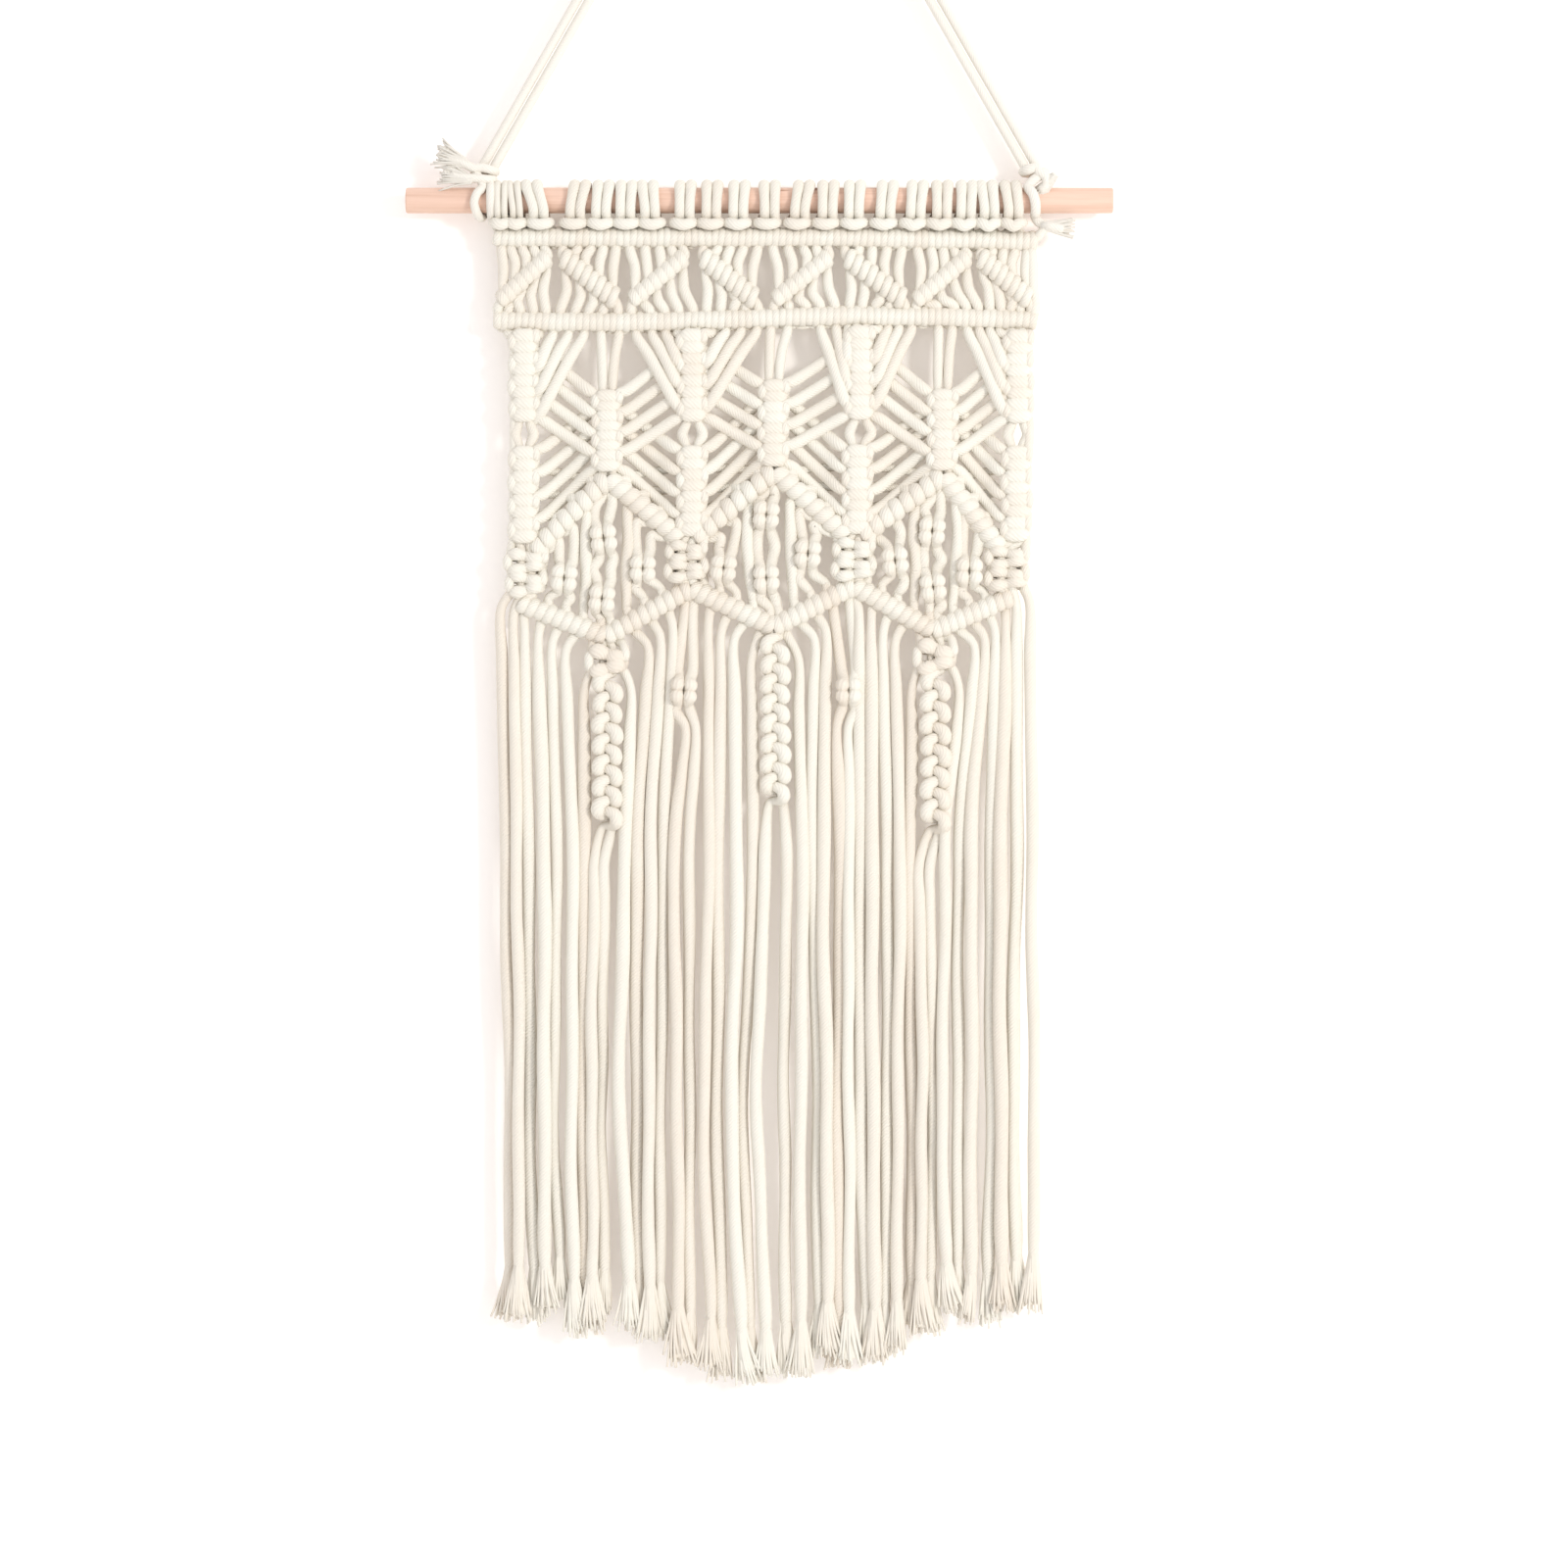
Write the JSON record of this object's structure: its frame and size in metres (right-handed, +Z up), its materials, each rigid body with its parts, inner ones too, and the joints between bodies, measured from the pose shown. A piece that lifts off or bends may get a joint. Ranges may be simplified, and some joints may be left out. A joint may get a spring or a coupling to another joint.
{
  "type": "macrame wall hanging on a wooden rod",
  "caption": "Knotted cotton cord wall hanging with a long fringe, mounted on a straight wooden rod and hung from a doubled cord.",
  "frame": {"origin": "the point of the wall hook that the hanger cord rests on", "axes": "+X along the rod towards the viewer's right, +Z up, and the viewer stands on the -Y side"},
  "size_m": [0.3, 0.0204, 0.7129],
  "materials": {
    "wood": "plain sanded pale wood",
    "cotton": "soft twisted cotton cord, natural cream",
    "hanger_cotton": "twisted cotton cord, natural cream"
  },
  "bodies": {
    "root": {"rod": "wood", "heading": "cotton", "upper_bar": "cotton", "zigzag_band": "cotton", "middle_bar": "cotton", "knotted_net": "cotton", "fringe": "cotton", "spiral_left": "cotton", "spiral_middle": "cotton", "spiral_right": "cotton", "tie_left": "hanger_cotton", "tie_right": "hanger_cotton", "hanger_cord_inner": "hanger_cotton", "hanger_cord_outer": "hanger_cotton"}
  },
  "joints": []
}
